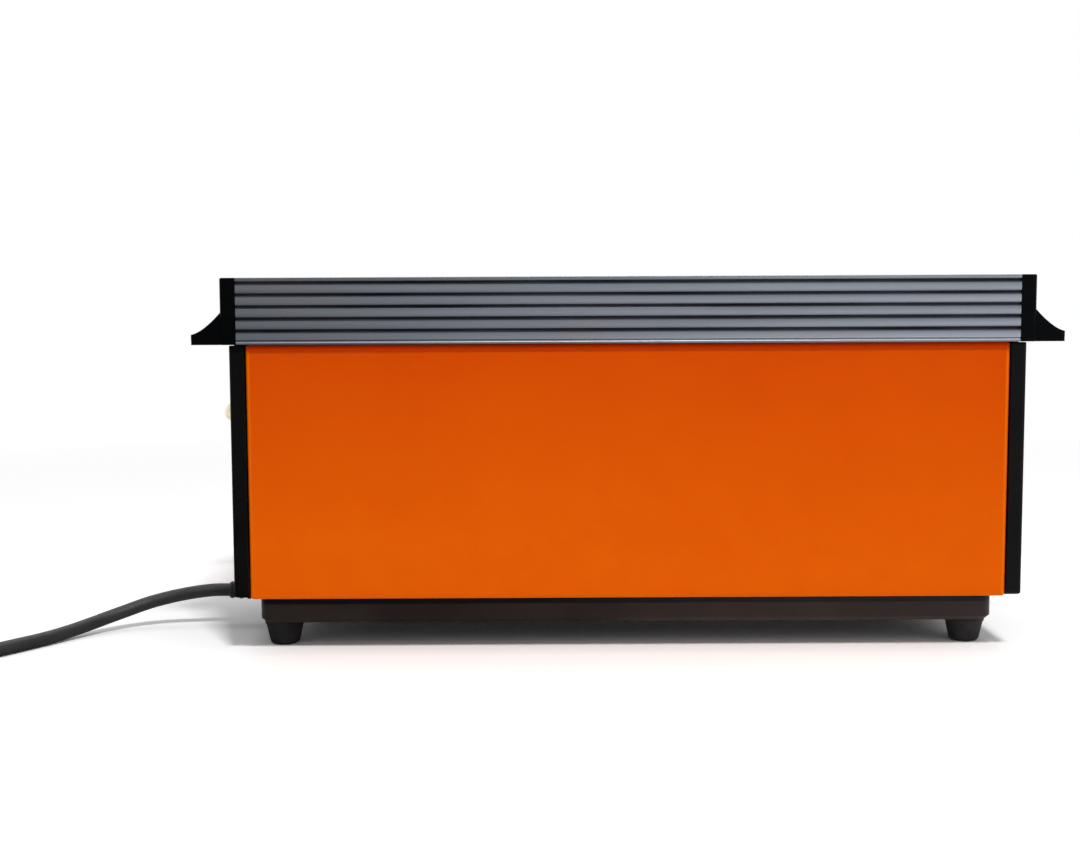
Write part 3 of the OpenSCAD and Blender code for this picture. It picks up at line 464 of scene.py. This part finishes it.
MADE = {
    "orange_enamel": orange_enamel(),
    "reeded_aluminium": reeded_aluminium(),
    "mica": mica(),
    "amber_lens": amber_lens(),
    "black_moulding": finish(
        "black_moulding", (0.0026, 0.0026, 0.0030), (0.0046, 0.0044, 0.0048), (0.30, 0.46),
        patch=55, grain=1500, depth=0.02, specular=0.08, dust=0.05,
        edge=(0.016, 0.016, 0.018), edge_width=0.3, scuffs_and_sheen=(0.030, 0.030, 0.031)),
    "handle_moulding": finish(
        "handle_moulding", (0.0008, 0.0012, 0.0016), (0.0018, 0.0021, 0.0025), (0.26, 0.42),
        patch=70, grain=1500, depth=0.015, specular=0.045, dust=0.03,
        edge=(0.012, 0.012, 0.014), edge_width=0.3),
    "tray_enamel": finish(
        "tray_enamel", (0.0265, 0.0196, 0.0180), (0.0425, 0.0305, 0.0275), (0.36, 0.5),
        patch=30, grain=800, depth=0.02, specular=0.2, dust=0.06,
        edge=(0.055, 0.045, 0.042), edge_width=0.3, band=TRAY_BAND),
    "foot_rubber": finish(
        "foot_rubber", (0.0165, 0.016, 0.016), (0.026, 0.0245, 0.024), (0.55, 0.8),
        patch=120, grain=1800, depth=0.04, specular=0.25, dust=0.15),
    "bright_steel": finish(
        "bright_steel", (0.56, 0.55, 0.53), (0.47, 0.44, 0.38), (0.18, 0.38),
        patch=22, grain=1400, depth=0.01, stretch=(1, 1, 0.08), metal=1.0, dust=0.05),
    "spring_steel": finish(
        "spring_steel", (0.30, 0.30, 0.31), (0.20, 0.19, 0.18), (0.28, 0.45),
        patch=150, grain=2500, depth=0.01, metal=1.0),
    "screw_zinc": finish(
        "screw_zinc", (0.52, 0.52, 0.50), (0.40, 0.38, 0.33), (0.25, 0.45),
        patch=260, grain=2600, depth=0.01, metal=1.0),
    "heating_ribbon": finish(
        "heating_ribbon", (0.30, 0.27, 0.24), (0.20, 0.17, 0.15), (0.35, 0.6),
        patch=90, grain=2200, depth=0.01, metal=1.0),
    "brass": finish(
        "brass", (0.60, 0.43, 0.17), (0.42, 0.28, 0.11), (0.22, 0.4),
        patch=120, grain=2000, depth=0.01, metal=1.0),
    "porcelain": finish(
        "porcelain", (0.66, 0.63, 0.56), (0.56, 0.52, 0.44), (0.2, 0.4),
        patch=80, grain=700, depth=0.02, coat=0.3),
    "wire_sleeve": finish(
        "wire_sleeve", (0.62, 0.58, 0.48), (0.48, 0.43, 0.34), (0.6, 0.8),
        patch=160, grain=2600, depth=0.06),
    "cord_rubber": finish(
        "cord_rubber", (0.021, 0.021, 0.0215), (0.032, 0.032, 0.0325), (0.38, 0.58),
        patch=70, grain=1500, depth=0.03, specular=0.4, dust=0.12),
    "tie_plastic": finish(
        "tie_plastic", (0.016, 0.016, 0.017), (0.028, 0.027, 0.027), (0.4, 0.6),
        patch=140, grain=1500, depth=0.02, dust=0.1),
    "plug_moulding": finish(
        "plug_moulding", (0.010, 0.010, 0.011), (0.018, 0.018, 0.018), (0.35, 0.52),
        patch=90, grain=1400, depth=0.03, specular=0.4, dust=0.12,
        edge=(0.045, 0.045, 0.046), edge_width=0.4),
    "lamp_plastic": finish(
        "lamp_plastic", (0.55, 0.47, 0.36), (0.42, 0.34, 0.25), (0.3, 0.45),
        patch=200, grain=1800, depth=0.01),
}

# ---- Cord: the route of part.scad, as one smooth line ----

CORD_D = 6.5  # mm, as the route and the coil below
CORD_SIDES = 20
CORD_PARTS = 3  # steps between each two points of the route
STRAIGHT = 5.0  # run into and out of the coil
COIL_MID = (-354.0, -72.0)
COIL_R = 42.0
COIL_PITCH = 7.1  # from turn to turn beside it
COIL_TURNS = 4.25
COIL_STEP = 7.1  # from the lower layer to the upper
COIL_LOW = 4.4
COIL_HIGH = COIL_LOW + COIL_STEP
COIL_RINGS = 24  # points on each turn
LEAD = [
    (-198, 0, 18), (-206, 0, 18), (-216, -1, 17), (-227, -1.5, 15),
    (-238, -4, 12.5), (-248, -8.5, 9.5), (-257, -15, 7), (-265, -23.5, 5), (-272, -33, 3.8),
    (-279, -44, 3.3), (-286, -54.5, 3.3), (-294, -66, 3.3), (-304, -80, 3.3),
    (-316, -95, 3.4), (-327, -104.5, 3.8), (-336, -111, 4.2),
    (COIL_MID[0] + CORD_D + STRAIGHT, COIL_MID[1] - COIL_R, COIL_LOW),
    (COIL_MID[0] + CORD_D, COIL_MID[1] - COIL_R, COIL_LOW),
]
TAIL = [
    (COIL_MID[0] - COIL_R, COIL_MID[1] + CORD_D, COIL_HIGH),
    (COIL_MID[0] - COIL_R, COIL_MID[1] + CORD_D + STRAIGHT, COIL_HIGH),
    (-396, -52, 10.6), (-395.4, -42, 8.6), (-394.2, -32, 7.2), (-392.2, -21, 7.2),
    (-389.4, -10, 9.2), (-385.6, 1, 12), (-382, 11, 13.5), (-378.6, 18.8, 13.5),
]


def coil_point(s):
    """The point s turns along the coil: in on the lower layer, up in half a turn, then out."""
    half = (COIL_TURNS - 0.5) / 2
    if s < half:
        r = COIL_R - COIL_PITCH * s
    elif s < half + 0.5:
        r = COIL_R - COIL_PITCH * (s - 2 * (s - half) ** 2)
    else:
        r = COIL_R - COIL_PITCH * (COIL_TURNS - s)
    u = min(1.0, max(0.0, (s - half) * 2))
    a = math.radians(270 - 360 * s)
    return (
        COIL_MID[0] + r * math.cos(a),
        COIL_MID[1] + r * math.sin(a),
        COIL_LOW + COIL_STEP * u * u * (3 - 2 * u),
    )


def make_cord():
    coil = [coil_point(i / COIL_RINGS) for i in range(int(COIL_RINGS * COIL_TURNS) + 1)]
    route = [Vector(p) * MM for p in LEAD + coil + TAIL]
    path = smooth_path(route, CORD_PARTS)
    cord = tube("power_cord", path, CORD_D / 2 * MM, CORD_SIDES)
    link(cord, "cord_rubber", "root")
    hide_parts("cord_lead", "cord_coil", "cord_tail")


make_cord()

# ---- CAD nodes that stay: their finish, with eased edges ----

EASED = {  # width in mm that each node's edges are eased by
    "base_tray": 0.9,
    "end_panel_left": 0.35,
    "end_panel_right": 0.35,
    "handle_front_left": 0.3,
    "handle_front_right": 0.3,
    "handle_rear_left": 0.3,
    "handle_rear_right": 0.3,
    "top_plate": 0.2,
    "plug_body": 0.5,
    "plug_pins": 0.2,
    "cord_tie": 0.2,
    "cord_clamp": 0.15,
    "terminal_block": 0.4,
    "lamp_body": 0.15,
    "strain_relief": 0.2,
}
EASE_ANGLE = 32  # degrees over which an edge is eased
NODE_WELD = 1e-6


def dress_nodes():
    for name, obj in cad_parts.items():
        slot_name = obj.data.materials[0].name.split(".")[0]
        if name.startswith("handle_"):
            slot_name = "handle_moulding"  # the same black, polished by fingers
        obj.data.materials[0] = MADE[slot_name]
        if name not in EASED or obj.hide_render:
            continue
        weld = obj.modifiers.new("weld", "WELD")
        weld.merge_threshold = NODE_WELD
        bevel = obj.modifiers.new("eased", "BEVEL")
        bevel.width = EASED[name] * MM
        bevel.segments = 2
        bevel.limit_method = "ANGLE"
        bevel.angle_limit = math.radians(EASE_ANGLE)
        bevel.harden_normals = True
        bevel.miter_outer = "MITER_ARC"


dress_nodes()

# ---- Reeded rails ----

RAIL_WEB = 3.0  # mm, as all lengths of the pieces below
RAIL_FLANGE = 1.8
RAIL_HOOK = 1.5  # from the rail's back to its lower flange
RAIL_EDGE_R = 0.3
RAIL_STEP = 0.22  # between the points down its front
EDGE_PARTS = 6
REED_PITCH = 5.46
FIRST_GROOVE = 2.45
GROOVES = 5
GROOVE_HALF = 0.8
GROOVE_DEEP = 1.1
REED_DOME = 0.12
LIP_AT = 1.5
LIP_DEEP = 0.45
LIP_TOP = 0.62
LIP = [  # (how far back, height over the lip's groove) down to the lip's face
    (0.08, 0.5), (0.25, 0.34), (LIP_DEEP, 0.16), (LIP_DEEP, -0.05), (0.32, -0.2), (0.1, -0.4),
    (0, -0.7),
]
LIP_END = [(0, 0.3), (0.08, 0.08), (0.3, 0)]  # (how far back, height over the rail's bottom)
SHADE_CORE = 0.35  # from a groove's middle, within which the painted shade is full
SHADE_ABOVE, SHADE_BELOW = 2.0, 3.0  # over which it fades out on each side
LIP_SHADE, TOP_SHADE = 0.42, 0.45  # shares
LIP_SHADE_OVER, TOP_SHADE_UNDER = 0.6, 0.7


def from_grooves(z, top):
    """How far height z is below the middle of each groove, less than 0 above it."""
    return [top - FIRST_GROOVE - i * REED_PITCH - z for i in range(GROOVES)]


def painted_shade_at(z, top, low):
    """How much painted shade the rail gets at height z: full in the grooves, fading out above
    them and further below them, and a lesser share over the lip and along the top, where
    highlights would catch.
    """
    painted_shade = 0.0
    if z < low + LIP_AT + LIP_SHADE_OVER:
        painted_shade = LIP_SHADE
    elif z > top - TOP_SHADE_UNDER:
        painted_shade = TOP_SHADE
    for below in from_grooves(z, top):
        reach = SHADE_BELOW if below > 0 else SHADE_ABOVE
        fade = 1 - max(0.0, abs(below) - SHADE_CORE) / reach
        painted_shade = max(painted_shade, max(0.0, fade) ** 2)
    return min(1.0, painted_shade)


def reed_depth(z, top):
    """How far the rail's front stands back at height z: domed reeds between round grooves."""
    nearest = min(abs(below) for below in from_grooves(z, top))
    if nearest < GROOVE_HALF:
        u = nearest / GROOVE_HALF
        return GROOVE_DEEP - (GROOVE_DEEP - REED_DOME) * (u**4)
    span = REED_PITCH / 2 - GROOVE_HALF
    u = max(0.0, 1 - (nearest - GROOVE_HALF) / span)
    return REED_DOME * u * u


def make_rail(row, side):
    name = f"door_rail_{row}"
    lo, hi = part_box(name)
    low, top = lo.z / MM, hi.z / MM
    inner, outer = sorted((abs(lo.y) / MM, abs(hi.y) / MM))
    front = []
    for k in range(EDGE_PARTS + 1):
        a = math.radians(90 * k / EDGE_PARTS)
        y = outer - RAIL_EDGE_R + RAIL_EDGE_R * math.sin(a)
        front.append((y, top - RAIL_EDGE_R + RAIL_EDGE_R * math.cos(a)))
    z = top - RAIL_EDGE_R - RAIL_STEP
    groove = low + LIP_AT
    while z > groove + LIP_TOP:
        front.append((outer - reed_depth(z, top), z))
        z -= RAIL_STEP
    front += [(outer - deep, groove + over) for deep, over in LIP]
    front += [(outer - deep, low + over) for deep, over in LIP_END]
    back = [
        (inner + RAIL_HOOK, low),
        (inner + RAIL_HOOK, low + RAIL_FLANGE),
        (outer - RAIL_WEB, low + RAIL_FLANGE),
        (outer - RAIL_WEB, top - RAIL_FLANGE),
        (inner, top - RAIL_FLANGE),
        (inner, top),
    ]
    outline = [(side * y * MM, z * MM) for y, z in front + back]
    rail = extrude_x(f"reeded_rail_{row}", outline, lo.x, hi.x, sharp_deg=40)
    link(rail, "reeded_aluminium", f"door_{row}")
    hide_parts(name)
    # painted shade stored per point: in the grooves, on the lip and along the top
    painted_shade = rail.data.attributes.new(PAINTED_SHADE, "FLOAT", "POINT")
    for vertex, value in zip(rail.data.vertices, painted_shade.data):
        value.value = painted_shade_at(vertex.co.z / MM, top, low)


for row, side in ROWS:
    make_rail(row, side)

# ---- Shoulders: the end panels' square corners under the blocks ----

SHOULDER_H = 3.2
SHOULDER_EASE = 0.25
SHOULDER_TOE = 0.3  # how far its bottom edge is drawn in, and how high up
SHOULDER_GAP = 0.5  # to the block above it, and to the door's skin beside it
PANEL_ROUND = 2.2
ROUND_STEP = 15  # degrees
BACK_OFF = 6.0  # from the panel's face to the shoulder's back
PROUD = 0.02


def make_shoulder(row, side, end_name, end):
    """A moulded corner that carries the panel's edge straight up to the ledge."""
    block_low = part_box(f"handle_{row}_{end_name}")[0].z / MM
    panel_lo, panel_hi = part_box(f"end_panel_{end_name}")
    skin_lo, skin_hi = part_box(f"door_skin_{row}")
    x_out = max(abs(panel_lo.x), abs(panel_hi.x)) / MM + PROUD
    x_in = max(abs(skin_lo.x), abs(skin_hi.x)) / MM + SHOULDER_GAP
    face = max(abs(panel_lo.y), abs(panel_hi.y)) / MM + PROUD
    high = block_low - SHOULDER_GAP
    low = high - SHOULDER_H
    corner = [
        (
            x_out - PANEL_ROUND + PANEL_ROUND * math.sin(math.radians(a)),
            face - PANEL_ROUND + PANEL_ROUND * math.cos(math.radians(a)),
        )
        for a in range(0, 91, ROUND_STEP)
    ]
    plan = [(x_in, face - BACK_OFF), (x_in, face), *corner, (x_out, face - BACK_OFF)]
    middle = ((x_in + x_out) / 2, face - BACK_OFF / 2)
    levels = [(low, SHOULDER_TOE), (low + SHOULDER_TOE, 0.0)]
    levels += [
        (high - SHOULDER_EASE * (1 - math.sin(a)), SHOULDER_EASE * (1 - math.cos(a)))
        for a in (0, math.pi / 4, math.pi / 2)
    ]
    points = []
    for z, inset in levels:
        for x, y in plan:
            dx = math.copysign(min(inset, abs(x - middle[0])), middle[0] - x)
            dy = math.copysign(min(inset, abs(y - middle[1])), middle[1] - y)
            points.append(Vector((end * (x + dx), side * (y + dy), z)) * MM)
    faces = closed_faces(len(levels), len(plan))
    shoulder = mesh_object(f"panel_shoulder_{row}_{end_name}", points, faces, sharp_deg=50)
    link(shoulder, "black_moulding", "root")


for corner in CORNERS:
    make_shoulder(*corner)

# ---- Feet ----

SOLE_R = 7.1
SCREW_WELL_R, SCREW_WELL_DEEP = 3.8, 6.0


def make_foot(name):
    """A turned rubber foot: screw well, rounded sole, taper and a flange under the tray."""
    lo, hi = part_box(name)
    centre = (lo + hi) / 2
    top = (hi.x - lo.x) / 2 / MM
    height = (hi.z - lo.z) / MM
    well = [(0, SCREW_WELL_DEEP), (SCREW_WELL_R, SCREW_WELL_DEEP), (SCREW_WELL_R, 1.0)]
    sole = [
        (4.2, 0.3), (SOLE_R - 1.6, 0.0), (SOLE_R - 0.8, 0.15), (SOLE_R - 0.25, 0.6),
        (SOLE_R + 0.05, 1.4), (SOLE_R + 0.65, 4.0),
    ]
    flange = [
        (top - 0.75, height - 3.2), (top - 0.55, height - 2.7), (top - 0.15, height - 2.4),
        (top, height - 1.9), (top, height - 0.5), (top - 0.4, height), (0, height),
    ]
    foot = lathe(
        name.replace("foot_", "rubber_foot_"),
        [(r * MM, h * MM) for r, h in well + sole + flange],
        Matrix.Translation((centre.x, centre.y, lo.z)),
        sharp_deg=50,
    )
    link(foot, "foot_rubber", "root")
    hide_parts(name)


for end_name, _ in ENDS:
    for row, _ in ROWS:
        make_foot(f"foot_{row}_{end_name}")

# ---- Door springs: torsion coils, which twist as the doors open, built here as still wires ----

SPRING_TURNS = 5
SPRING_PITCH = 1.6
SPRING_WIRE = 1.1
SPRING_R = 3.3
SPRING_STEPS = 24  # points on each turn
SPRING_SIDES = 10
LAST_TURN_CUT = 0.25  # the share of the last turn that the floor leg takes over
DOOR_LEG = [(0.3, 13.0), (0.15, 6.5), (0.02, 2.5)]  # (lean, height over the hinge)


def make_spring(row, side, end_name, end):
    """One wire: a leg up against the door, turns round the rod and a leg along the floor."""
    name = f"door_spring_{row}_{end_name}"
    lo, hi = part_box(name)
    rod_lo, rod_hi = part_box(f"hinge_rod_{row}")
    hinge_y, hinge_z = -abs(rod_lo.y + rod_hi.y) / 2 / MM, (rod_lo.z + rod_hi.z) / 2 / MM
    inner = (hi.y if side < 0 else -lo.y) / MM
    rest = lo.z / MM + SPRING_WIRE / 2
    leg_y = hinge_y + SPRING_R
    x_door = max(abs(lo.x), abs(hi.x)) / MM - SPRING_WIRE / 2
    x_floor = x_door - SPRING_PITCH * SPRING_TURNS
    points = [(x_door, leg_y + lean, hinge_z + high) for lean, high in DOOR_LEG]
    for i in range(int((SPRING_TURNS - LAST_TURN_CUT) * SPRING_STEPS) + 1):
        a = 2 * math.pi * i / SPRING_STEPS
        points.append(
            (
                x_door - SPRING_PITCH * i / SPRING_STEPS,
                hinge_y + SPRING_R * math.cos(a),
                hinge_z + SPRING_R * math.sin(a),
            )
        )
    points += [
        (x_floor, hinge_y + 2.6, rest + 0.75),
        (x_floor, hinge_y + SPRING_R + 1.4, rest + 0.3),
        (x_floor, inner, rest),
    ]
    placed = [Vector((end * x, -side * y, z)) * MM for x, y, z in points]
    spring = tube(f"coil_spring_{row}_{end_name}", placed, SPRING_WIRE / 2 * MM, SPRING_SIDES)
    link(spring, "spring_steel")
    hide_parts(name)
    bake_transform(spring)


for corner in CORNERS:
    make_spring(*corner)

# ---- Floor, lights and surroundings ----

FLOOR_HALF = 6.0  # metres, as the other lengths here
FLOOR_DROP = 0.0002
LIT_NEAR, LIT_FAR = 0.30, 1.1  # between which the floor turns plain white
LIFT = 1.34  # near floor, as the camera sees it, so that it ends up white
# The room in front of the toaster, as its gloss shows it: dim at the left, lighter at the
# right, and plain white behind it.
ROOM_LEFT, ROOM_RIGHT, ROOM_HIGH = 0.12, 0.85, 0.8
ROOM_SPAN = (-0.45, 0.55)
ROOM_RISE = (0.1, 0.8)
ROOM_EDGE = 0.25
WORLD_LIGHT = 0.38
LIT_MIDDLE = (0, 0, 0.09)
LIGHTS = (  # name, place, width and depth, watts
    ("key_light", (0.25, -1.25, 1.75), (0.30, 0.18), 22),
    ("fill_light", (1.5, -1.0, 1.1), (1.2, 1.0), 3),
    ("top_light", (0.0, 0.4, 2.0), (2.0, 1.4), 6),
)
WHITE = (1, 1, 1, 1)


def make_floor():
    half = FLOOR_HALF
    points = [(-half, -half, 0), (half, -half, 0), (half, half, 0), (-half, half, 0)]
    floor = mesh_object("floor", points, [(0, 1, 2, 3)])
    floor.location.z = -FLOOR_DROP
    bpy.context.scene.collection.objects.link(floor)
    p = Paint("floor_white")
    path = p.add("ShaderNodeLightPath").outputs
    seen = path["Is Camera Ray"]  # 1 for all rays that show the white background
    for other in ("Is Glossy Ray", "Is Transmission Ray"):
        seen = p.math("MAXIMUM", seen, path[other])
    away = p.add("ShaderNodeVectorMath", {0: p.where}, operation="LENGTH").outputs["Value"]
    plain = p.math("MULTIPLY", p.remap(away, LIT_NEAR, LIT_FAR), seen)
    paper = p.mix(p.spread(p.noise(3, 2)), (0.80, 0.80, 0.80), (0.82, 0.82, 0.82))
    unit = p.add("ShaderNodeVectorMath", {0: p.where}, operation="NORMALIZE").outputs["Vector"]
    side = p.remap(p.part(unit, "X"), *ROOM_SPAN, ROOM_LEFT, ROOM_RIGHT)
    behind = p.remap(p.part(unit, "Y"), -ROOM_EDGE, ROOM_EDGE)
    mirrored = p.between(path["Is Glossy Ray"], 1.0, p.between(behind, side, 1.0))
    white = p.math("MULTIPLY", mirrored, LIFT)
    grey = p.add("ShaderNodeCombineColor", {0: white, 1: white, 2: white}).outputs[0]
    p.set(Base_Color=p.mix(seen, paper, grey), Roughness=0.9, Specular_IOR_Level=0.0)
    glow = p.add("ShaderNodeEmission", {"Color": WHITE, "Strength": mirrored}).outputs[0]
    both = p.add("ShaderNodeMixShader", {0: plain, 1: p.shader.outputs[0], 2: glow})
    p.put(p.tree.nodes["Material Output"].inputs[0], both.outputs[0])
    floor.data.materials.append(p.material)


def make_world():
    """White behind the object and for the camera, a dim room in front, plain grey light."""
    world = bpy.data.worlds.new("studio")
    world.use_nodes = True
    bpy.context.scene.world = world
    w = Nodes(world.node_tree)
    w.tree.nodes.clear()
    towards = w.add("ShaderNodeTexCoord").outputs["Generated"]

    def eased(axis, start, end):
        return w.add(
            "ShaderNodeMapRange",
            {"Value": w.part(towards, axis), "From Min": start, "From Max": end},
            interpolation_type="SMOOTHSTEP",
        ).outputs["Result"]

    side = w.between(eased("X", *ROOM_SPAN), ROOM_LEFT, ROOM_RIGHT)
    front = w.between(eased("Z", *ROOM_RISE), side, ROOM_HIGH)
    room = w.between(eased("Y", -ROOM_EDGE, ROOM_EDGE), front, 1.0)
    path = w.add("ShaderNodeLightPath").outputs
    light = w.between(path["Is Glossy Ray"], WORLD_LIGHT, room)
    shown = w.between(path["Is Transmission Ray"], light, 1.0)
    final = w.between(path["Is Camera Ray"], shown, 1.0)
    background = w.add("ShaderNodeBackground", {"Color": WHITE, "Strength": final})
    w.add("ShaderNodeOutputWorld", {0: background.outputs[0]})


def make_light(name, at, size, power):
    data = bpy.data.lights.new(name, "AREA")
    data.shape = "RECTANGLE"
    data.size, data.size_y = size
    data.energy = power
    light = bpy.data.objects.new(name, data)
    light.location = at
    light.rotation_mode = "QUATERNION"
    light.rotation_quaternion = (Vector(LIT_MIDDLE) - Vector(at)).to_track_quat("-Z", "Y")
    bpy.context.scene.collection.objects.link(light)


make_floor()
make_world()
for lamp in LIGHTS:
    make_light(*lamp)
bpy.context.scene.view_settings.view_transform = "Standard"

bpy.context.view_layer.update()
